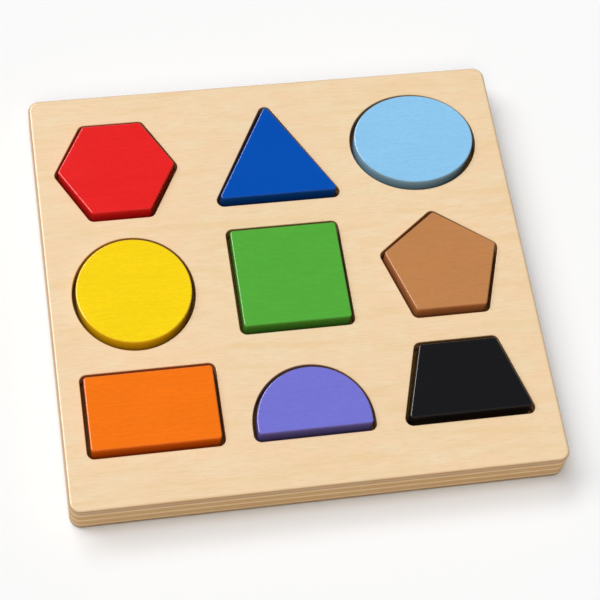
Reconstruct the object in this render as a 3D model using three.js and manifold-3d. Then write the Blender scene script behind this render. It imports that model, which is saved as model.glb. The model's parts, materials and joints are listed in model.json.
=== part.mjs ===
// Shape board for small children: a plywood board with nine recesses, and a painted wooden block
// lying loose in each of them.
// Millimetres, +Z up. The origin is the middle of the underside, +X is to the right, +Y to the back.

import * as THREE from 'three';
import { mergeVertices } from 'three/addons/utils/BufferGeometryUtils.js';
import Module from 'manifold-3d';

// Plies of the board: two face plies and two core plies, with a thin crossband between each two
const FACE_PLY = 3.25;
const CORE_PLY = 4;
const CROSSBAND = 1.5;

// Board, measured from the grid of recesses outwards
const COLUMN_WEB = 10.6; // wood between the widest recesses of two columns
const ROW_WEB = 4.7; // wood between the deepest recesses of two rows
const SIDE_RIM = 9.8; // wood from the widest recess to the left or right edge
const END_RIM = 14.6; // wood from the deepest recess to the front or back edge
const BOARD_CORNER_RADIUS = 5.5;
const BOARD_EDGE_ROUND = 1.6;

// Recesses
const SIDE_CLEARANCE = 1.7; // gap to the left and right of a block
const END_CLEARANCE = 2.4; // gap in front of it and behind it
const RECESS_RIM_ROUND = 0.5; // eased edge at the board's top

// Blocks
const BLOCK_THICKNESS = 12;
const BLOCK_EDGE_ROUND = 0.6; // rounded edge round the top and bottom faces
const FLAT_CORNER_RADIUS = 0.9; // what is left of a corner's radius inside that edge
const HEXAGON_SIDE = 27.5;
const TRIANGLE_SIDE = 57.4;
const ELLIPSE_WIDTH = 58;
const ELLIPSE_DEPTH = 48.8;
const DISC_DIAMETER = 53;
const SQUARE_SIDE = 50;
const PENTAGON_SIDE = 33;
const RECTANGLE_WIDTH = 57.9;
const RECTANGLE_DEPTH = 35.8;
const HALF_ROUND_WIDTH = 52.1;
const HALF_ROUND_FOOT = 4.3; // straight length of its sides below the half circle
const TRAPEZOID_BASE = 57.6;
const TRAPEZOID_TOP = 36.1;
const TRAPEZOID_DEPTH = 35.6;

// Facets
const ROUND_STEP = Math.PI / 20; // turn of one facet on a round side
const CORNER_STEP = Math.PI / 6; // turn of one facet on a rounded corner
const BLOCK_EDGE_FACETS = 3;
const BOARD_EDGE_FACETS = 4;
const RIM_FACETS = 2;
const LEVEL_STEP = 1 / 1024; // glued faces lie on whole steps, so that both plies share one height

const WOOD_ROUGHNESS = 0.6;
const PAINT_ROUGHNESS = 0.38;

const blockCornerRadius = FLAT_CORNER_RADIUS + BLOCK_EDGE_ROUND;

const wasm = await Module();
wasm.setup();

// Corners of a regular polygon, anticlockwise, with one side towards the front.
function regularCorners(sides, length) {
  const circumradius = length / (2 * Math.sin(Math.PI / sides));
  const corners = [];
  for (let i = 0; i < sides; i += 1) {
    const angle = ((2 * i + 1) * Math.PI) / sides - Math.PI / 2;
    corners.push(new THREE.Vector2(Math.cos(angle), Math.sin(angle)).multiplyScalar(circumradius));
  }
  return corners;
}

// Corners of a trapezoid with its base to the front; a rectangle has equal base and top.
function trapezoidCorners(base, top, depth) {
  return [
    new THREE.Vector2(base / 2, -depth / 2),
    new THREE.Vector2(top / 2, depth / 2),
    new THREE.Vector2(-top / 2, depth / 2),
    new THREE.Vector2(-base / 2, -depth / 2),
  ];
}

// Points of an arc, anticlockwise, with facets of equal turn.
function arcPoints(centre, radius, from, turn, step) {
  const facets = Math.max(1, Math.round(turn / step));
  return new THREE.ArcCurve(centre.x, centre.y, radius, from, from + turn).getPoints(facets);
}

// Outward normal of the side between two corners of an anticlockwise outline.
function sideNormal(start, end) {
  return new THREE.Vector2(end.y - start.y, start.x - end.x).normalize();
}

// Outline of a polygon with rounded corners, grown outward all round.
function roundedPolygon(corners, radius, grow) {
  return corners.flatMap((corner, i) => {
    const before = sideNormal(corners.at(i - 1), corner);
    const after = sideNormal(corner, corners[(i + 1) % corners.length]);
    const inward = before.clone().add(after).multiplyScalar(radius / (1 + before.dot(after)));
    const centre = corner.clone().sub(inward);
    return arcPoints(centre, radius + grow, before.angle(), before.angleTo(after), CORNER_STEP);
  });
}

// Outline of an ellipse, grown outward all round.
function ellipseOutline(width, depth, grow) {
  const facets = Math.round((2 * Math.PI) / ROUND_STEP);
  const points = [];
  for (let i = 0; i < facets; i += 1) {
    const angle = i * ((2 * Math.PI) / facets);
    const outward = new THREE.Vector2(Math.cos(angle) / width, Math.sin(angle) / depth).setLength(grow);
    points.push(new THREE.Vector2((width / 2) * Math.cos(angle), (depth / 2) * Math.sin(angle)).add(outward));
  }
  return points;
}

// Outline of a half circle on a low straight foot, grown outward all round and centred on its box.
function halfRoundOutline(width, foot, grow) {
  const radius = width / 2;
  const front = -(radius + foot) / 2;
  const inset = radius - blockCornerRadius;
  const cornerHeight = front + blockCornerRadius;
  const cornerRadius = blockCornerRadius + grow;
  const quarter = Math.PI / 2;
  return [
    ...arcPoints(new THREE.Vector2(inset, cornerHeight), cornerRadius, -quarter, quarter, CORNER_STEP),
    ...arcPoints(new THREE.Vector2(0, front + foot), radius + grow, 0, Math.PI, ROUND_STEP),
    ...arcPoints(new THREE.Vector2(-inset, cornerHeight), cornerRadius, Math.PI, quarter, CORNER_STEP),
  ];
}

// Outline of a block that is a polygon, for any growth.
function polygonBlock(corners) {
  return (grow) => roundedPolygon(corners, blockCornerRadius, grow);
}

// The blocks, by column and row of the grid. Each recess lies a little off its grid point.
const BLOCKS = [
  {
    name: 'red_hexagon_block',
    colour: 0xeb2424,
    grid: [-1, 1],
    offGrid: [-2.2, 0.8],
    outline: polygonBlock(regularCorners(6, HEXAGON_SIDE)),
  },
  {
    name: 'blue_triangle_block',
    colour: 0x0450b4,
    grid: [0, 1],
    offGrid: [0.6, -4.4],
    outline: polygonBlock(regularCorners(3, TRIANGLE_SIDE)),
  },
  {
    name: 'light_blue_ellipse_block',
    colour: 0x8fc9f0,
    grid: [1, 1],
    offGrid: [-2.1, 3.4],
    outline: (grow) => ellipseOutline(ELLIPSE_WIDTH, ELLIPSE_DEPTH, grow),
  },
  {
    name: 'yellow_disc_block',
    colour: 0xfcd713,
    grid: [-1, 0],
    offGrid: [-1.1, -2.3],
    outline: (grow) => ellipseOutline(DISC_DIAMETER, DISC_DIAMETER, grow),
  },
  {
    name: 'green_square_block',
    colour: 0x55ad3c,
    grid: [0, 0],
    offGrid: [-0.4, -1.1],
    outline: polygonBlock(regularCorners(4, SQUARE_SIDE)),
  },
  {
    name: 'brown_pentagon_block',
    colour: 0xc18451,
    grid: [1, 0],
    offGrid: [-0.2, -3.4],
    outline: polygonBlock(regularCorners(5, PENTAGON_SIDE)),
  },
  {
    name: 'orange_rectangle_block',
    colour: 0xf87714,
    grid: [-1, -1],
    offGrid: [0.5, 1.2],
    outline: polygonBlock(trapezoidCorners(RECTANGLE_WIDTH, RECTANGLE_WIDTH, RECTANGLE_DEPTH)),
  },
  {
    name: 'purple_half_round_block',
    colour: 0x7776d5,
    grid: [0, -1],
    offGrid: [-0.3, -1.7],
    outline: (grow) => halfRoundOutline(HALF_ROUND_WIDTH, HALF_ROUND_FOOT, grow),
  },
  {
    name: 'black_trapezoid_block',
    colour: 0x191a1d,
    grid: [1, -1],
    offGrid: [-1.1, 1.1],
    outline: polygonBlock(trapezoidCorners(TRAPEZOID_BASE, TRAPEZOID_TOP, TRAPEZOID_DEPTH)),
  },
];

// The plies from the underside up. The recesses go down through the cut ones.
const PLIES = [
  { name: 'bottom_face_ply', thickness: FACE_PLY, colour: 0xf0d2a8, cut: false },
  { name: 'lower_crossband', thickness: CROSSBAND, colour: 0xecd0a6, cut: false },
  { name: 'lower_core_ply', thickness: CORE_PLY, colour: 0xd6b184, cut: false },
  { name: 'middle_crossband', thickness: CROSSBAND, colour: 0xecd0a6, cut: false },
  { name: 'upper_core_ply', thickness: CORE_PLY, colour: 0xd6b184, cut: true },
  { name: 'upper_crossband', thickness: CROSSBAND, colour: 0xecd0a6, cut: true },
  { name: 'top_face_ply', thickness: FACE_PLY, colour: 0xf3d3ac, cut: true },
];

// Height of the top of a stack of plies.
function stackHeight(plies) {
  const height = plies.reduce((sum, ply) => sum + ply.thickness, 0);
  return Math.round(height / LEVEL_STEP) * LEVEL_STEP;
}

const boardThickness = stackHeight(PLIES);
const recessFloor = stackHeight(PLIES.filter((ply) => !ply.cut));

// Outline of the recess round a block. It is stretched to its larger clearance at the front and back.
function recessOutline(block) {
  const points = block.outline(SIDE_CLEARANCE);
  const box = new THREE.Box2().setFromPoints(points);
  const middle = (box.min.y + box.max.y) / 2;
  const stretch = 1 + (2 * (END_CLEARANCE - SIDE_CLEARANCE)) / (box.max.y - box.min.y);
  return points.map((point) => new THREE.Vector2(point.x, middle + stretch * (point.y - middle)));
}

// One cell of the grid holds the widest and the deepest recess.
function gridCell() {
  const sizes = BLOCKS.map((block) => {
    const box = new THREE.Box2().setFromPoints(recessOutline(block));
    return box.getSize(new THREE.Vector2());
  });
  return sizes.reduce((cell, size) => cell.max(size), new THREE.Vector2());
}

const cell = gridCell();
const columnPitch = cell.x + COLUMN_WEB;
const rowPitch = cell.y + ROW_WEB;
const boardWidth = 2 * columnPitch + cell.x + 2 * SIDE_RIM;
const boardDepth = 2 * rowPitch + cell.y + 2 * END_RIM;

// Middle of a block and its recess on the board.
function blockPlace(block) {
  const x = block.grid[0] * columnPitch + block.offGrid[0];
  const y = block.grid[1] * rowPitch + block.offGrid[1];
  return new THREE.Vector2(x, y);
}

// Prism standing on z = 0 whose end faces are stepped in by `inset`, through a rounded edge.
// A negative inset flares the ends outward instead.
function roundedPrism(outline, height, inset, facets) {
  const edge = Math.abs(inset);
  const geometry = new THREE.ExtrudeGeometry(new THREE.Shape(outline), {
    depth: height - 2 * edge,
    bevelThickness: edge,
    bevelSize: inset,
    bevelOffset: -inset,
    bevelSegments: facets,
  });
  return geometry.translate(0, 0, edge);
}

function toSolid(geometry) {
  geometry.deleteAttribute('normal');
  geometry.deleteAttribute('uv');
  const merged = mergeVertices(geometry);
  return new wasm.Manifold(
    new wasm.Mesh({
      numProp: 3,
      vertProperties: merged.attributes.position.array,
      triVerts: new Uint32Array(merged.index.array),
    }),
  );
}

function toGeometry(solid) {
  const mesh = solid.getMesh();
  const geometry = new THREE.BufferGeometry();
  geometry.setAttribute('position', new THREE.BufferAttribute(mesh.vertProperties, mesh.numProp));
  geometry.setIndex(new THREE.BufferAttribute(mesh.triVerts, 1));
  geometry.computeVertexNormals();
  return geometry;
}

// The whole board before it is parted into plies and recessed.
function boardBlank() {
  const corners = trapezoidCorners(boardWidth, boardWidth, boardDepth);
  const outline = roundedPolygon(corners, BOARD_CORNER_RADIUS, 0);
  return toSolid(roundedPrism(outline, boardThickness, BOARD_EDGE_ROUND, BOARD_EDGE_FACETS));
}

// What is cut away for one block: its recess, with a rim that opens at the top.
// It runs on below the floor, where no ply is cut.
function recessCutter(block) {
  const runOn = 2 * RECESS_RIM_ROUND;
  const height = boardThickness - recessFloor + runOn;
  const cutter = roundedPrism(recessOutline(block), height, -RECESS_RIM_ROUND, RIM_FACETS);
  const place = blockPlace(block);
  return toSolid(cutter.translate(place.x, place.y, recessFloor - runOn));
}

// Slice of the board between two heights.
function slice(blank, bottom, top) {
  const slab = new THREE.BoxGeometry(2 * boardWidth, 2 * boardDepth, top - bottom);
  return blank.intersect(toSolid(slab.translate(0, 0, (bottom + top) / 2)));
}

function woodMaterial(colour, roughness) {
  return new THREE.MeshStandardMaterial({ color: colour, roughness, metalness: 0 });
}

// Plywood board: the glued plies, the upper ones cut through by the recesses.
function buildBoard() {
  const board = new THREE.Group();
  const blank = boardBlank();
  const cutters = BLOCKS.map(recessCutter);
  PLIES.forEach((ply, i) => {
    let solid = slice(blank, stackHeight(PLIES.slice(0, i)), stackHeight(PLIES.slice(0, i + 1)));
    if (ply.cut) solid = cutters.reduce((rest, cutter) => rest.subtract(cutter), solid);
    const mesh = new THREE.Mesh(toGeometry(solid), woodMaterial(ply.colour, WOOD_ROUGHNESS));
    mesh.name = ply.name;
    board.add(mesh);
  });
  return board;
}

// Painted blocks, each resting on the floor of its recess.
function buildBlocks() {
  const blocks = new THREE.Group();
  BLOCKS.forEach((block) => {
    const shape = roundedPrism(block.outline(0), BLOCK_THICKNESS, BLOCK_EDGE_ROUND, BLOCK_EDGE_FACETS);
    const mesh = new THREE.Mesh(shape, woodMaterial(block.colour, PAINT_ROUGHNESS));
    const place = blockPlace(block);
    mesh.name = block.name;
    mesh.position.set(place.x, place.y, recessFloor);
    blocks.add(mesh);
  });
  return blocks;
}

const shapeBoard = new THREE.Group();
shapeBoard.add(buildBoard(), buildBlocks());

export default shapeBoard;
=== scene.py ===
"""Looks of a shape board: a birch plywood board with nine recesses and a painted block in each."""

import json
import math
from typing import NamedTuple

import bmesh
import bpy
from bpy.props import FloatProperty, FloatVectorProperty, PointerProperty
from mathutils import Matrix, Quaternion, Vector


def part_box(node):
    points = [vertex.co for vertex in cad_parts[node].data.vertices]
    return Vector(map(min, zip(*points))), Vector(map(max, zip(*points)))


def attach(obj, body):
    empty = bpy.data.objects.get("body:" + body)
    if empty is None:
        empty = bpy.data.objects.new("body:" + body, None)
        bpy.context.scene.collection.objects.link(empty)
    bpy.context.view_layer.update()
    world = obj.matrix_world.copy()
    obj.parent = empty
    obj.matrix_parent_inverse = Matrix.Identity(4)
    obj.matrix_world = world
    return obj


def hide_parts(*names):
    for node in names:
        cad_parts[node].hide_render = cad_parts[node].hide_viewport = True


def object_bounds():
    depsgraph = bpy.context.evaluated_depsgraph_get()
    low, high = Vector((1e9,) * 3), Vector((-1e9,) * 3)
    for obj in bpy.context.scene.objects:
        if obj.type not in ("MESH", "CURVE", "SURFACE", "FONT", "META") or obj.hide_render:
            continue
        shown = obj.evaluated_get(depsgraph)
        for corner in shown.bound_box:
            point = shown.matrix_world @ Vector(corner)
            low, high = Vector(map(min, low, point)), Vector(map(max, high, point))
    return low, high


bl_info = {
    "name": "Shape Board",
    "version": (1, 0, 0),
    "blender": (4, 5, 0),
    "location": "3D View > Sidebar > Shape Board",
    "description": "Dresses a plywood shape board and its painted blocks, and sets their stage",
    "category": "Object",
}

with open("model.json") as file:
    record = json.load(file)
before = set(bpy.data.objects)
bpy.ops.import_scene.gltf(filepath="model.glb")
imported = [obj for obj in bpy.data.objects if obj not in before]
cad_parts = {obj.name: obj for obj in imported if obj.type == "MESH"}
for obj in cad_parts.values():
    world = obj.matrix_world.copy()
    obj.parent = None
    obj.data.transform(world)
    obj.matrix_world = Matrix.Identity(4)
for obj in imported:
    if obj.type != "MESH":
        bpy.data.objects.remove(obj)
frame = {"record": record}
CAD_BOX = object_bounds()
RECORD = frame["record"]
BODIES = RECORD["behaviour"]["bodies"]
BODY_OF = {node: body for body, nodes in BODIES.items() for node in nodes}
SLOT_OF = {part["node"]: part["material_slot"] for part in RECORD["subparts"]}
COLOUR_OF = {material["slot"]: material["base_color"] for material in RECORD["materials"]}
PLIES = BODIES["board"]
TOP_PLY = "top_face_ply"
BOTTOM_PLY = "bottom_face_ply"
RECESS_FLOOR_PLY = "middle_crossband"

MILLIMETRE = 0.001
RIGHT_ANGLE = math.pi / 2
FIT_TOLERANCE = 0.1 * MILLIMETRE  # between a piece and the node whose place it takes
RIM_FADE = 0.95  # share by which the painted shade on a recess's wall is lighter at its rim than at its floor

# Vertex attributes
EASED = "eased"  # 1 over most of an eased edge, 0 on the faces beside it
RECESS_SHADE = "stained"  # how much painted shade the bare wood in a recess has

# Facets of the meshes
ROUND_FACETS = 144  # round a whole ellipse or disc
CORNER_TURN = math.radians(6)  # of one facet on a rounded corner
EDGE_FACETS = 8  # over a rounded edge
EASE_STEEPNESS = 2  # of the eased attribute, beside the faces that an edge joins
SHARP_ANGLE = math.radians(40)  # edges that turn more than this stay sharp
LARGE_FACE_WEIGHT = 100  # of the weighted normals, so that the flat faces shade flat


def length_prop(name, description, default):
    return FloatProperty(
        name=name, description=description, default=default, min=0, unit="LENGTH", precision=5
    )


def colour_prop(name, description, default):
    return FloatVectorProperty(
        name=name, description=description, default=default, subtype="COLOR", min=0, max=1
    )


def place_prop(name, description, default):
    return FloatVectorProperty(
        name=name, description=description, default=default, subtype="TRANSLATION", precision=4
    )


def angle_prop(name, description, degrees):
    return FloatProperty(
        name=name, description=description, default=math.radians(degrees), subtype="ANGLE"
    )


def factor_prop(name, description, default, highest=1):
    return FloatProperty(
        name=name, description=description, default=default, min=0, soft_max=highest, subtype="FACTOR"
    )


def strength_prop(name, default):
    return factor_prop(name, "Light of the lamp, in watts per square metre", default, highest=2)


class ShapeBoardPlies(bpy.types.PropertyGroup):
    """Sizes and colours of the plywood board"""

    corner_radius: length_prop("Corner radius", "Radius of the board's four corners", 0.0055)
    edge_round: length_prop("Edge round", "Radius of the edge round both faces", 0.0016)
    side_clearance: length_prop("Side clearance", "Gap to the left and right of a block", 0.0017)
    end_clearance: length_prop("End clearance", "Gap in front of a block and behind it", 0.0024)
    rim_round: length_prop("Rim round", "Radius of the eased rim of a recess", 0.0005)
    face: colour_prop("Face veneer", "Sanded and lacquered birch face", COLOUR_OF["birch_face"])
    core: colour_prop("Core ply", "Thick ply, seen at its edge", COLOUR_OF["birch_core"])
    crossband: colour_prop("Crossband", "Thin light ply", COLOUR_OF["birch_crossband"])
    cut_tint: colour_prop("Cut edge", "Tint of a face veneer's cut edge", (0.57, 0.435, 0.28))
    core_tint: colour_prop("Core edge", "Tint of a core ply's edge", (0.97, 0.89, 0.81))
    crossband_tint: colour_prop("Crossband edge", "Tint of a crossband's edge", (1.0, 0.94, 0.88))
    # Painted shade: the board's edge darkens towards its foot, where it meets the floor
    foot_shade_tint: colour_prop("Foot", "Tint of the edge at the board's foot", (0.34, 0.3, 0.26))
    foot_shade_height: length_prop("Foot height", "Height up to which the edge has the foot's tint", 0.005)
    # Painted shade: darkens the walls and floor of a recess, most at its floor
    recess_shade_tint: colour_prop("Recess wall", "Tint of the bare wood in a recess", (0.3, 0.19, 0.085))


class ShapeBoardBlocks(bpy.types.PropertyGroup):
    """Sizes and finish of the painted blocks"""

    corner_radius: length_prop("Corner radius", "Radius of a block's upright corners", 0.0015)
    edge_round: length_prop("Edge round", "Radius of the edge round both faces", 0.0006)
    trapezoid_slope: angle_prop("Trapezoid slope", "Angle between its base and a side", 73.2)
    roughness: factor_prop("Paint roughness", "Roughness of the satin paint", 0.13)
    gloss: factor_prop("Paint gloss", "Specular level of the satin paint", 0.2)
    # Painted light: a warm tint on the sides that stands in for light bounced from the wood
    side_bounce_tint: colour_prop("Side", "Warm tint of the paint on a block's sides", (1.0, 0.87, 0.86))


class ShapeBoardStage(bpy.types.PropertyGroup):
    """Camera, lights and floor"""

    camera_place: place_prop("Camera place", "Where the camera stands", (-0.1267, -0.3967, 0.7905))
    camera_aim: place_prop("Camera aim", "Point in the middle of the picture", (0.0024, -0.0137, 0.019))
    camera_roll: angle_prop("Camera roll", "Turn of the picture, anticlockwise", -11.22)
    lens: FloatProperty(name="Lens", description="Focal length", default=113.3, unit="CAMERA")
    overhead_azimuth: angle_prop("Overhead azimuth", "Side that the lamp stands on, from +X to +Y", 175)
    overhead_height: angle_prop("Overhead height", "Height of the lamp over the horizon", 80)
    overhead_spread: angle_prop("Overhead spread", "Width of the lamp, as seen from the board", 34)
    overhead_strength: strength_prop("Overhead strength", 1.071)
    overhead_colour: colour_prop("Overhead colour", "Colour of its light", (0.675, 0.812, 1.0))
    left_azimuth: angle_prop("Left azimuth", "Side that the lamp stands on, from +X to +Y", 150)
    left_height: angle_prop("Left height", "Height of the lamp over the horizon", 46)
    left_spread: angle_prop("Left spread", "Width of the lamp, as seen from the board", 34)
    left_strength: strength_prop("Left strength", 1.2)
    left_colour: colour_prop("Left colour", "Colour of its light", (1.0, 1.0, 1.0))
    back_azimuth: angle_prop("Back azimuth", "Side that the lamp stands on, from +X to +Y", 108)
    back_height: angle_prop("Back height", "Height of the lamp over the horizon", 48)
    back_spread: angle_prop("Back spread", "Width of the lamp, as seen from the board", 22)
    back_strength: strength_prop("Back strength", 0.6)
    back_colour: colour_prop("Back colour", "Colour of its light", (1.0, 1.0, 1.0))
    front_azimuth: angle_prop("Front azimuth", "Side that the lamp stands on, from +X to +Y", 250)
    front_height: angle_prop("Front height", "Height of the lamp over the horizon", 55)
    front_spread: angle_prop("Front spread", "Width of the lamp, as seen from the board", 40)
    front_strength: strength_prop("Front strength", 1.1)
    front_colour: colour_prop("Front colour", "Colour of its light", (1.0, 0.84, 0.62))
    ambient: factor_prop("Ambient", "Strength of the even light from all round", 0.1)
    ambient_colour: colour_prop("Ambient colour", "Colour of the even light", (1.0, 1.0, 1.0))
    floor_colour: colour_prop("Floor", "Pale floor under the board", (0.925, 0.925, 0.925))
    backdrop_colour: colour_prop("Backdrop", "Pale backdrop beyond the floor", (0.96, 0.96, 0.96))
    lamp_distance: length_prop("Lamp distance", "From the board to each lamp", 2.0)
    floor_size: length_prop("Floor size", "Length of the floor's sides", 12.0)


LAMPS = ("overhead", "left", "back", "front")
LAMP_PARTS = ("azimuth", "height", "spread", "strength", "colour")
SHEEN_LAMPS = ("left", "back")  # show in the paint and the lacquer, while the others only fill

GROUPS = {
    "shape_board_plies": ShapeBoardPlies,
    "shape_board_blocks": ShapeBoardBlocks,
    "shape_board_stage": ShapeBoardStage,
}


class Streaks(NamedTuple):
    """Noise drawn out along the grain, and the tint that it gives."""

    length: float  # of a streak, along the grain
    width: float  # of a streak, across the grain
    detail: float  # of the noise
    roughness: float  # of the noise's detail
    start: float  # value of the noise where the tint begins
    full: float  # value of the noise where the tint is strongest
    share: float  # of the tint where it is strongest
    tint: tuple


class BirchFinish(NamedTuple):
    """How a kind of birch is worked, and the way that its grain runs."""

    name: str
    grain_axis: int
    roughness: float
    gloss: float
    contrast: float  # of its streaks


# Birch: pale bluish patches of painted sheen, warm bands, fine fibres and short dark flecks
# Painted sheen: pale bluish patches in the birch's tone
SHEEN_PATCHES = Streaks(
    length=14 * MILLIMETRE, width=6 * MILLIMETRE, detail=2.0, roughness=0.5,
    start=0.3, full=0.8, share=1.0, tint=(0.98, 1.08, 1.13),
)
BANDS = Streaks(
    length=50 * MILLIMETRE, width=5 * MILLIMETRE, detail=3.0, roughness=0.6,
    start=0.5, full=0.72, share=0.7, tint=(0.94, 0.93, 0.8),
)
FIBRES = Streaks(
    length=8 * MILLIMETRE, width=0.5 * MILLIMETRE, detail=3.0, roughness=0.7,
    start=0.4, full=0.72, share=0.8, tint=(0.9, 0.9, 0.81),
)
FLECKS = Streaks(
    length=3 * MILLIMETRE, width=0.3 * MILLIMETRE, detail=1.0, roughness=0.5,
    start=0.66, full=0.78, share=0.6, tint=(0.82, 0.75, 0.6),
)
BEND_LENGTH = 90 * MILLIMETRE  # of a bend in the birch's grain
BEND_WIDTH = 35 * MILLIMETRE  # of the grain that bends together
BEND_SWAY = 6 * MILLIMETRE  # of the grain to its side
BEND_DETAIL = 1.0  # of the noise that bends it
FLECK_RELIEF = 0.6  # depth of a fleck, next to that of the fibres
FIBRE_ROUGHNESS = 0.14  # by which the fibres change the birch's roughness
BIRCH_EDGE = {"Coat Roughness": 0.12, "Coat IOR": 1.7}  # lacquer on an eased edge

LACQUERED_FACE = BirchFinish("birch face veneer", grain_axis=0, roughness=0.34, gloss=0.35, contrast=1.0)
SANDED_CORE = BirchFinish("birch core ply", grain_axis=0, roughness=0.66, gloss=0.2, contrast=1.4)
SANDED_CROSSBAND = BirchFinish("birch crossband", grain_axis=1, roughness=0.62, gloss=0.2, contrast=1.0)

# Paint: wide clouds, the grain of the wood under it and the fine streaks of its film
CLOUDS = Streaks(
    length=30 * MILLIMETRE, width=12 * MILLIMETRE, detail=2.0, roughness=0.5,
    start=0.35, full=0.7, share=1.0, tint=(1.03, 1.03, 1.03),
)
GRAIN = Streaks(
    length=14 * MILLIMETRE, width=0.9 * MILLIMETRE, detail=3.0, roughness=0.65,
    start=0.4, full=0.75, share=0.6, tint=(0.9, 0.9, 0.9),
)
FILM = Streaks(
    length=2.6 * MILLIMETRE, width=0.7 * MILLIMETRE, detail=1.0, roughness=0.5,
    start=0.35, full=0.7, share=0.45, tint=(0.88, 0.88, 0.88),
)
PAINTED_GRAIN_AXIS = 0
GRAIN_RELIEF = 0.6  # share of the grain in the paint's relief
FILM_RELIEF = 0.4  # share of the film in it
CLOUD_ROUGHNESS = 0.1  # by which the clouds change the paint's roughness
GRAIN_ROUGHNESS = 0.06  # that the grain adds to it
THIN_SHARE = 0.02  # of the thinner paint on an eased edge
THIN_COLOUR = 0.8  # share of the paint's colour in the thinner paint
THIN_PALENESS = 0.12  # that the wood under it adds
PAINT_EDGE = {"Coat Roughness": 0.1, "Coat IOR": 2.1}  # gloss on an eased edge

RELIEF_DEPTH = 0.03 * MILLIMETRE  # of the birch and of the paint
MEAN_NOISE = 0.5

# Square of the rise of a face's normal
LEVEL_RISE = 0.92  # from which a face is level
UPRIGHT_RISE = 0.4  # below which it is upright


def opaque(colour):
    """A colour as a socket takes it."""
    return tuple(min(1.0, channel) for channel in colour) + (1.0,)


def tinted(colour, tint):
    """A colour times a tint, channel by channel."""
    return opaque([channel * part for channel, part in zip(colour, tint)])


def thinned(colour):
    """Colour of thinner paint, which the wood under it makes paler."""
    return opaque([THIN_COLOUR * channel + THIN_PALENESS for channel in colour])


def along_grain(axis, length, width):
    """A vector with one value along the grain and another across it."""
    return tuple(length if i == axis else width for i in range(3))


class Wire:
    """An output socket. Sums, differences and products of wires and numbers add Math nodes."""

    def __init__(self, nodes, socket):
        self.nodes = nodes
        self.socket = socket

    def combine(self, operation, first, second):
        return self.nodes.add("ShaderNodeMath", {"operation": operation}, {0: first, 1: second})

    def __add__(self, other):
        return self.combine("ADD", self, other)

    def __radd__(self, other):
        return self.combine("ADD", other, self)

    def __sub__(self, other):
        return self.combine("SUBTRACT", self, other)

    def __rsub__(self, other):
        return self.combine("SUBTRACT", other, self)

    def __mul__(self, other):
        return self.combine("MULTIPLY", self, other)

    def __rmul__(self, other):
        return self.combine("MULTIPLY", other, self)


class Nodes:
    """A node tree that is written as expressions."""

    def __init__(self, owner):
        owner.use_nodes = True
        self.tree = owner.node_tree
        self.tree.nodes.clear()

    def add(self, kind, settings=None, inputs=None, output=0):
        """Adds a node: first its settings, then its inputs. Gives one output as a wire."""
        node = self.tree.nodes.new(kind)
        for name, value in (settings or {}).items():
            setattr(node, name, value)
        for name, value in (inputs or {}).items():
            if isinstance(value, Wire):
                self.tree.links.new(value.socket, node.inputs[name])
            else:
                node.inputs[name].default_value = value
        return Wire(self, node.outputs[output]) if node.outputs else None

    def place(self):
        """Place on the piece, in metres."""
        return self.add("ShaderNodeTexCoord", output="Object")

    def vector(self, operation, *inputs):
        """Vector worked out from vectors."""
        return self.add("ShaderNodeVectorMath", {"operation": operation}, dict(enumerate(inputs)))

    def noise(self, place, lengths, detail, roughness=0.5):
        """Noise whose blotches have the given lengths along X, Y and Z."""
        scaled = self.vector("DIVIDE", place, lengths)
        return self.add(
            "ShaderNodeTexNoise",
            {"noise_dimensions": "3D", "normalize": True},
            {"Vector": scaled, "Scale": 1.0, "Detail": detail, "Roughness": roughness},
        )

    def between(self, value, low, high):
        """0 where the value is at `low`, 1 where it is at `high`, eased between them."""
        return self.add(
            "ShaderNodeMapRange",
            {"interpolation_type": "SMOOTHSTEP"},
            {"Value": value, "From Min": low, "From Max": high},
        )

    def streaks(self, place, axis, kind, contrast=1.0):
        """Noise of one kind of streaks, and the share of their tint that it gives."""
        lengths = along_grain(axis, kind.length, kind.width)
        noise = self.noise(place, lengths, kind.detail, kind.roughness)
        return noise, self.between(noise, kind.start, kind.full) * (kind.share * contrast)

    def mix(self, factor, first, second):
        """Colour between two colours."""
        return self.add("ShaderNodeMix", {"data_type": "RGBA"}, {0: factor, 6: first, 7: second}, 2)

    def tint(self, factor, colour, tint):
        """Colour that takes on a tint by a factor."""
        settings = {"data_type": "RGBA", "blend_type": "MULTIPLY"}
        return self.add("ShaderNodeMix", settings, {0: factor, 6: colour, 7: opaque(tint)}, 2)

    def mark(self, name):
        """Value of a vertex attribute."""
        return self.add("ShaderNodeAttribute", {"attribute_name": name}, None, "Fac")

    def rise(self, vector):
        """A vector's part along Z."""
        return self.add("ShaderNodeSeparateXYZ", None, {"Vector": vector}, "Z")

    def upright(self):
        """1 on upright faces, 0 on level ones."""
        rise = self.rise(self.add("ShaderNodeTexCoord", output="Normal"))
        return self.between(rise * rise, LEVEL_RISE, UPRIGHT_RISE)

    def relief(self, height):
        """Normal of a fine relief."""
        inputs = {"Height": height, "Distance": RELIEF_DEPTH, "Strength": 1.0}
        return self.add("ShaderNodeBump", None, inputs)

    def surface(self, shader):
        self.add("ShaderNodeOutputMaterial", None, {"Surface": shader})


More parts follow.
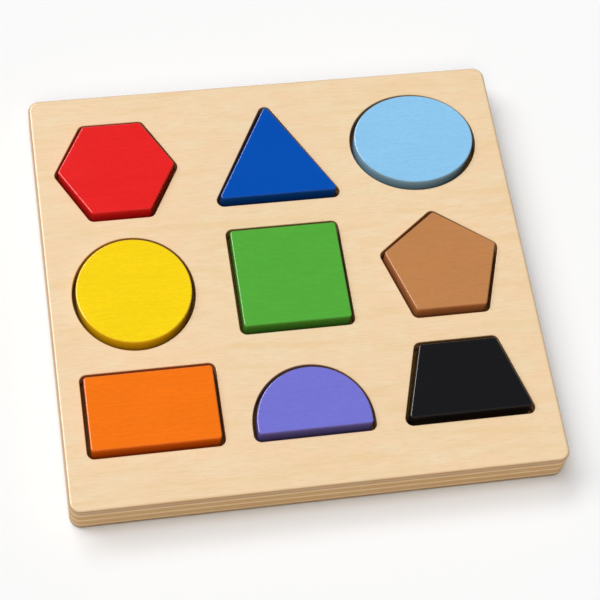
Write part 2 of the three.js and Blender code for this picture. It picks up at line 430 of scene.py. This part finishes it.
def birch(finish, colour, cut_tint, sizes):
    """Birch with streaks along its grain, and pale patches that paint its sheen. Upright faces, where
    the ply is cut, have a tint of their own; the board's foot has a painted shade, darker towards the
    underside, and the bare wood in a recess has a painted shade that is darkest at its floor."""
    material = bpy.data.materials.new(finish.name)
    nodes = Nodes(material)
    place = nodes.place()
    axis = finish.grain_axis
    # The grain wanders a little to either side.
    bend = nodes.noise(place, along_grain(axis, BEND_LENGTH, BEND_WIDTH), BEND_DETAIL)
    swayed = nodes.vector("MULTIPLY_ADD", bend, along_grain(axis, 0.0, BEND_SWAY), place)
    tone = opaque(colour)
    noise = {}
    share = {}
    for kind in (SHEEN_PATCHES, BANDS, FIBRES, FLECKS):
        noise[kind], share[kind] = nodes.streaks(swayed, axis, kind, finish.contrast)
        tone = nodes.mix(share[kind], tone, tinted(colour, kind.tint))
    tone = nodes.tint(nodes.upright(), tone, cut_tint)
    # Painted shade on the edge, darker towards the board's foot
    tone = nodes.tint(nodes.between(nodes.rise(place), sizes.foot_shade_height, 0.0), tone, sizes.foot_shade_tint)
    # Painted shade on the walls and floor of a recess
    tone = nodes.tint(nodes.mark(RECESS_SHADE), tone, sizes.recess_shade_tint)
    shader = nodes.add(
        "ShaderNodeBsdfPrincipled",
        None,
        {
            "Base Color": tone,
            "Roughness": finish.roughness + FIBRE_ROUGHNESS * (noise[FIBRES] - MEAN_NOISE),
            "Specular IOR Level": finish.gloss,
            "Coat Weight": nodes.mark(EASED),
            **BIRCH_EDGE,
            "Normal": nodes.relief(noise[FIBRES] - FLECK_RELIEF * share[FLECKS]),
        },
    )
    nodes.surface(shader)
    return material


def paint(name, colour, sizes):
    """Satin paint on wood: a faint grain shows through, the film is a little thinner on eased edges,
    whose upper part has a gloss, and the sides take a warm tint of painted bounce light from the wood."""
    material = bpy.data.materials.new(name)
    nodes = Nodes(material)
    place = nodes.place()
    clouds, cloud_share = nodes.streaks(place, PAINTED_GRAIN_AXIS, CLOUDS)
    grain, grain_share = nodes.streaks(place, PAINTED_GRAIN_AXIS, GRAIN)
    film, film_share = nodes.streaks(place, PAINTED_GRAIN_AXIS, FILM)
    eased = nodes.mark(EASED)
    upright = nodes.upright()
    tone = nodes.mix(cloud_share, opaque(colour), tinted(colour, CLOUDS.tint))
    tone = nodes.mix(grain_share, tone, tinted(colour, GRAIN.tint))
    tone = nodes.mix(eased * THIN_SHARE, tone, thinned(colour))
    tone = nodes.mix(film_share, tone, tinted(colour, FILM.tint))
    # Painted bounce light: the sides are tinted warm
    tone = nodes.tint(upright, tone, sizes.side_bounce_tint)
    roughness = sizes.roughness + CLOUD_ROUGHNESS * (clouds - MEAN_NOISE) + GRAIN_ROUGHNESS * grain
    shader = nodes.add(
        "ShaderNodeBsdfPrincipled",
        None,
        {
            "Base Color": tone,
            "Roughness": roughness,
            "Specular IOR Level": sizes.gloss,
            "Coat Weight": eased * (1 - upright),
            **PAINT_EDGE,
            "Normal": nodes.relief(grain * GRAIN_RELIEF + film * FILM_RELIEF),
        },
    )
    nodes.surface(shader)
    return material


def flat_box(node):
    """Lowest and highest corner of a node, as seen from above."""
    low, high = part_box(node)
    return low.xy, high.xy


def arc(middle, radius, start, turn, facets):
    """Points of an arc, anticlockwise."""
    angles = [start + turn * i / facets for i in range(facets + 1)]
    return [middle + radius * Vector((math.cos(a), math.sin(a))) for a in angles]


def side_normal(start, end):
    """Outward normal of a side of an anticlockwise outline."""
    return Vector((end.y - start.y, start.x - end.x)).normalized()


def rounded(corners, radius, grow):
    """Outline of a polygon with rounded corners, grown outward all round."""
    points = []
    for i, corner in enumerate(corners):
        before = side_normal(corners[i - 1], corner)
        after = side_normal(corner, corners[(i + 1) % len(corners)])
        middle = corner - (before + after) * (radius / (1 + before.dot(after)))
        turn = before.angle(after)
        facets = max(1, round(turn / CORNER_TURN))
        points += arc(middle, radius + grow, math.atan2(before.y, before.x), turn, facets)
    return points


def regular_corners(box, sides, radius):
    """Corners of a regular polygon with a side to the front, whose rounded outline fills the box."""
    low, high = box
    depth = high.y - low.y
    share = math.cos(math.pi / sides)
    if sides % 2:
        circumradius = (depth + radius * (1 / share - 1)) / (1 + share)
    else:
        circumradius = depth / (2 * share)
    middle = Vector(((low.x + high.x) / 2, low.y + circumradius * share))
    angles = [(2 * i + 1) * math.pi / sides - RIGHT_ANGLE for i in range(sides)]
    return [middle + circumradius * Vector((math.cos(a), math.sin(a))) for a in angles]


def trapezoid_corners(box, slope, radius):
    """Corners of a trapezoid with its base to the front, whose rounded outline fills the box."""
    low, high = box
    toe = radius * (1 / math.tan(slope / 2) - 1)
    shoulder = (high.y - low.y) / math.tan(slope) - toe
    return [
        Vector((high.x + toe, low.y)),
        Vector((high.x - shoulder, high.y)),
        Vector((low.x + shoulder, high.y)),
        Vector((low.x - toe, low.y)),
    ]


# Outlines of the blocks. Each takes a block's box, the sizes and how far the outline grows outward.


def polygon(sides):
    """Outline of a block that is a regular polygon."""

    def outline(box, sizes, grow):
        return rounded(regular_corners(box, sides, sizes.corner_radius), sizes.corner_radius, grow)

    return outline


def rectangle(box, sizes, grow):
    """Outline of the rectangle, which is a trapezoid with right angles."""
    return rounded(trapezoid_corners(box, RIGHT_ANGLE, sizes.corner_radius), sizes.corner_radius, grow)


def trapezoid(box, sizes, grow):
    """Outline of the trapezoid."""
    corners = trapezoid_corners(box, sizes.trapezoid_slope, sizes.corner_radius)
    return rounded(corners, sizes.corner_radius, grow)


def ellipse(box, _sizes, grow):
    """Outline of the ellipse, or of the disc in a square box."""
    low, high = box
    middle = (low + high) / 2
    half = (high - low) / 2
    points = []
    for i in range(ROUND_FACETS):
        angle = 2 * math.pi * i / ROUND_FACETS
        turned = Vector((math.cos(angle), math.sin(angle)))
        outward = Vector((turned.x / half.x, turned.y / half.y)).normalized()
        points.append(middle + half * turned + grow * outward)
    return points


def half_round(box, sizes, grow):
    """Outline of the half round block: a half circle on a low straight foot."""
    low, high = box
    radius = (high.x - low.x) / 2
    corner = sizes.corner_radius
    facets = round(RIGHT_ANGLE / CORNER_TURN)
    right = Vector((high.x - corner, low.y + corner))
    left = Vector((low.x + corner, low.y + corner))
    middle = Vector((low.x + radius, high.y - radius))
    return (
        arc(right, corner + grow, -RIGHT_ANGLE, RIGHT_ANGLE, facets)
        + arc(middle, radius + grow, 0, math.pi, ROUND_FACETS // 2)
        + arc(left, corner + grow, math.pi, RIGHT_ANGLE, facets)
    )


BLOCK_OUTLINES = {
    "red_hexagon_block": polygon(6),
    "blue_triangle_block": polygon(3),
    "light_blue_ellipse_block": ellipse,
    "yellow_disc_block": ellipse,
    "green_square_block": polygon(4),
    "brown_pentagon_block": polygon(5),
    "orange_rectangle_block": rectangle,
    "purple_half_round_block": half_round,
    "black_trapezoid_block": trapezoid,
}


def block_outline(node, sizes):
    """Outline of a block for any growth."""
    box = flat_box(node)
    return lambda grow: BLOCK_OUTLINES[node](box, sizes, grow)


def board_outline(corner_radius):
    """Outline of the board for any growth."""
    corners = trapezoid_corners(flat_box(PLIES[0]), RIGHT_ANGLE, corner_radius)
    return lambda grow: rounded(corners, corner_radius, grow)


def recess_outline(node, blocks, plies):
    """Outline of the recess round a block, stretched to its larger clearance at the front and back."""
    low, high = flat_box(node)
    middle = (low.y + high.y) / 2
    narrow = high.y - low.y + 2 * plies.side_clearance
    stretch = 1 + 2 * (plies.end_clearance - plies.side_clearance) / narrow

    def outline(grow):
        points = block_outline(node, blocks)(plies.side_clearance + grow)
        return [Vector((point.x, middle + stretch * (point.y - middle))) for point in points]

    return outline


def quarter_round(radius):
    """Steps of a rounded edge from its side to its face: way in, way up and how far it is eased.
    A sharp edge has one step."""
    facets = EDGE_FACETS if radius else 0
    for i in range(facets + 1):
        angle = RIGHT_ANGLE * i / EDGE_FACETS
        eased = min(1.0, EASE_STEEPNESS * math.sin(2 * angle))
        yield radius * (1 - math.cos(angle)), radius * math.sin(angle), eased


def wall_profile(low, high, foot_round, head_round):
    """Profile of a wall from its foot up: way out, height, how far it is eased and how much painted
    shade it has.
    """
    foot = []
    for inward, up, eased in quarter_round(foot_round):
        foot.append((-inward, low + foot_round - up, eased, 0.0))
    head = []
    for inward, up, eased in quarter_round(head_round):
        head.append((-inward, high - head_round + up, eased, 0.0))
    return foot[::-1] + head


def recess_profile(low, high, rim_round):
    """Profile of a recess's wall, which opens at its rim; below the rim it has a painted shade, darkest
    at its floor.
    """
    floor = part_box(RECESS_FLOOR_PLY)[1].z
    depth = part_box(TOP_PLY)[1].z - floor
    profile = []
    for out, height, eased, _recess_shade in wall_profile(low, high, 0, rim_round):
        bare = 1 + out / rim_round if rim_round else 1.0
        risen = (height - floor) / depth
        # Painted shade: full below the rim, lighter towards the rim
        profile.append((-out, height, eased, bare * (1 - RIM_FADE * risen)))
    return profile


def check_fit(piece, node):
    """Stops the build if a piece doesn't fill the place of its node."""
    low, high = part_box(node)
    for axis in range(3):
        places = [vert.co[axis] for vert in piece.data.vertices]
        if max(abs(min(places) - low[axis]), abs(max(places) - high[axis])) > FIT_TOLERANCE:
            raise RuntimeError(f"{piece.name} does not fill the place of {node} along axis {axis}")


class PieceMesh:
    """Mesh of one piece, built from rings of points."""

    def __init__(self):
        self.bm = bmesh.new()
        self.eased = self.bm.verts.layers.float.new(EASED)
        self.stained = self.bm.verts.layers.float.new(RECESS_SHADE)

    def ring(self, points, height, eased, stained):
        verts = []
        for point in points:
            vert = self.bm.verts.new((point.x, point.y, height))
            vert[self.eased] = eased
            vert[self.stained] = stained
            verts.append(vert)
        return verts

    def wall(self, outline, profile):
        """Wall that follows an outline; gives its lowest and its highest ring."""
        rings = [self.ring(outline(out), *rest) for out, *rest in profile]
        for lower, upper in zip(rings, rings[1:]):
            for i, vert in enumerate(lower):
                self.bm.faces.new((lower[i - 1], vert, upper[i], upper[i - 1]))
        return rings[0], rings[-1]

    def cap(self, rings):
        """Flat face between an outer ring and the rings of its holes."""
        edges = []
        for verts in rings:
            edges += [self.bm.edges.get((verts[i - 1], vert)) for i, vert in enumerate(verts)]
        bmesh.ops.triangle_fill(self.bm, use_beauty=True, edges=edges, normal=(0, 0, 1))

    def finish(self, node, material):
        """Makes the piece that stands for a node, in its place."""
        bmesh.ops.recalc_face_normals(self.bm, faces=self.bm.faces)
        mesh = bpy.data.meshes.new(node + "_piece")
        self.bm.to_mesh(mesh)
        self.bm.free()
        mesh.shade_smooth()
        mesh.set_sharp_from_angle(angle=SHARP_ANGLE)
        mesh.materials.append(material)
        piece = bpy.data.objects.new(node + "_piece", mesh)
        bpy.context.scene.collection.objects.link(piece)
        even = piece.modifiers.new("Even shading", "WEIGHTED_NORMAL")
        even.keep_sharp = True
        even.weight = LARGE_FACE_WEIGHT
        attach(piece, BODY_OF[node])
        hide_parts(node)
        check_fit(piece, node)


class SHAPEBOARD_OT_plies(bpy.types.Operator):
    """Makes the board's glued plies, the upper ones cut through by the recesses"""

    bl_idname = "shape_board.plies"
    bl_label = "Plies"

    def execute(self, context):
        sizes = context.scene.shape_board_plies
        blocks = context.scene.shape_board_blocks
        floor_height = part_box(RECESS_FLOOR_PLY)[1].z
        materials = {
            "birch_face": birch(LACQUERED_FACE, sizes.face, sizes.cut_tint, sizes),
            "birch_core": birch(SANDED_CORE, sizes.core, sizes.core_tint, sizes),
            "birch_crossband": birch(SANDED_CROSSBAND, sizes.crossband, sizes.crossband_tint, sizes),
        }
        outline = board_outline(sizes.corner_radius)
        recesses = [recess_outline(block, blocks, sizes) for block in BLOCK_OUTLINES]
        for node in PLIES:
            low, high = (corner.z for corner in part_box(node))
            foot_round = sizes.edge_round if node == BOTTOM_PLY else 0
            head_round = sizes.edge_round if node == TOP_PLY else 0
            rim_round = sizes.rim_round if node == TOP_PLY else 0
            piece = PieceMesh()
            profile = wall_profile(low, high, foot_round, head_round)
            if node == RECESS_FLOOR_PLY:
                # Its upper face, the recesses' floor, has a painted shade from just inside the board's
                # edge.
                profile.append((-sizes.edge_round, high, 0.0, 1.0))
            walls = [piece.wall(outline, profile)]
            if low > floor_height - FIT_TOLERANCE:
                profile = recess_profile(low, high, rim_round)
                walls += [piece.wall(recess, profile) for recess in recesses]
            piece.cap([foot for foot, _head in walls])
            piece.cap([head for _foot, head in walls])
            piece.finish(node, materials[SLOT_OF[node]])
        return {"FINISHED"}


class SHAPEBOARD_OT_blocks(bpy.types.Operator):
    """Makes the painted blocks, each lying in its recess"""

    bl_idname = "shape_board.blocks"
    bl_label = "Blocks"

    def execute(self, context):
        sizes = context.scene.shape_board_blocks
        for node in BLOCK_OUTLINES:
            low, high = (corner.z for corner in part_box(node))
            slot = SLOT_OF[node]
            material = paint(slot.replace("_", " "), COLOUR_OF[slot], sizes)
            piece = PieceMesh()
            profile = wall_profile(low, high, sizes.edge_round, sizes.edge_round)
            foot, head = piece.wall(block_outline(node, sizes), profile)
            piece.cap([foot])
            piece.cap([head])
            piece.finish(node, material)
        return {"FINISHED"}


class SHAPEBOARD_OT_stage(bpy.types.Operator):
    """Sets the floor, the lights and the camera"""

    bl_idname = "shape_board.stage"
    bl_label = "Stage"

    def execute(self, context):
        sizes = context.scene.shape_board_stage
        self.make_floor(context, sizes)
        self.make_backdrop(context, sizes)
        self.make_lamps(context, sizes)
        self.make_camera(context, sizes)
        context.scene.view_settings.view_transform = "Standard"
        return {"FINISHED"}

    def make_floor(self, context, sizes):
        half = sizes.floor_size / 2
        height = CAD_BOX[0].z
        mesh = bpy.data.meshes.new("floor")
        corners = [(x * half, y * half, height) for x, y in ((-1, -1), (1, -1), (1, 1), (-1, 1))]
        mesh.from_pydata(corners, [], [range(len(corners))])
        material = bpy.data.materials.new("floor")
        nodes = Nodes(material)
        shader = nodes.add("ShaderNodeBsdfDiffuse", None, {"Color": opaque(sizes.floor_colour)})
        nodes.surface(shader)
        mesh.materials.append(material)
        floor = bpy.data.objects.new("floor", mesh)
        context.scene.collection.objects.link(floor)

    def make_backdrop(self, context, sizes):
        """Even light from all round, in whose place the camera sees a pale backdrop."""
        world = bpy.data.worlds.new("studio")
        context.scene.world = world
        nodes = Nodes(world)
        ambient = {"Color": opaque(sizes.ambient_colour), "Strength": sizes.ambient}
        even = nodes.add("ShaderNodeBackground", None, ambient)
        backdrop = nodes.add("ShaderNodeBackground", None, {"Color": opaque(sizes.backdrop_colour)})
        seen = nodes.add("ShaderNodeLightPath", output="Is Camera Ray")
        surround = nodes.add("ShaderNodeMixShader", None, {0: seen, 1: even, 2: backdrop})
        nodes.add("ShaderNodeOutputWorld", None, {"Surface": surround})

    def make_lamps(self, context, sizes):
        for name in LAMPS:
            values = [getattr(sizes, f"{name}_{part}") for part in LAMP_PARTS]
            azimuth, height, spread, strength, colour = values
            lamp = bpy.data.lights.new(name, "SUN")
            lamp.angle = spread
            lamp.energy = strength
            lamp.color = colour
            holder = bpy.data.objects.new(name, lamp)
            holder.visible_glossy = name in SHEEN_LAMPS
            level = math.cos(height)
            towards = Vector((level * math.cos(azimuth), level * math.sin(azimuth), math.sin(height)))
            holder.rotation_euler = towards.to_track_quat("Z", "Y").to_euler()
            holder.location = sizes.lamp_distance * towards
            context.scene.collection.objects.link(holder)

    def make_camera(self, context, sizes):
        camera = bpy.data.cameras.new("camera")
        camera.lens = sizes.lens
        holder = bpy.data.objects.new("camera", camera)
        place = Vector(sizes.camera_place)
        look = (Vector(sizes.camera_aim) - place).to_track_quat("-Z", "Y")
        roll = Quaternion((0, 0, 1), -sizes.camera_roll)
        holder.location = place
        holder.rotation_euler = (look @ roll).to_euler()
        context.scene.collection.objects.link(holder)
        context.scene.camera = holder


OPERATORS = (SHAPEBOARD_OT_plies, SHAPEBOARD_OT_blocks, SHAPEBOARD_OT_stage)


class SHAPEBOARD_PT_pieces(bpy.types.Panel):
    """Lists the pieces of the shape board and their sizes"""

    bl_label = "Shape Board"
    bl_space_type = "VIEW_3D"
    bl_region_type = "UI"
    bl_category = "Shape Board"

    def draw(self, context):
        for (group, kind), operator in zip(GROUPS.items(), OPERATORS):
            box = self.layout.box()
            box.operator(operator.bl_idname)
            for name in kind.__annotations__:
                box.prop(getattr(context.scene, group), name)


def register():
    for kind in (*GROUPS.values(), *OPERATORS, SHAPEBOARD_PT_pieces):
        bpy.utils.register_class(kind)
    for name, kind in GROUPS.items():
        setattr(bpy.types.Scene, name, PointerProperty(type=kind))


def unregister():
    for name in GROUPS:
        delattr(bpy.types.Scene, name)
    for kind in (SHAPEBOARD_PT_pieces, *reversed(OPERATORS), *reversed(GROUPS.values())):
        bpy.utils.unregister_class(kind)


def main():
    register()
    bpy.ops.shape_board.plies()
    bpy.ops.shape_board.blocks()
    bpy.ops.shape_board.stage()


if __name__ == "__main__":
    main()
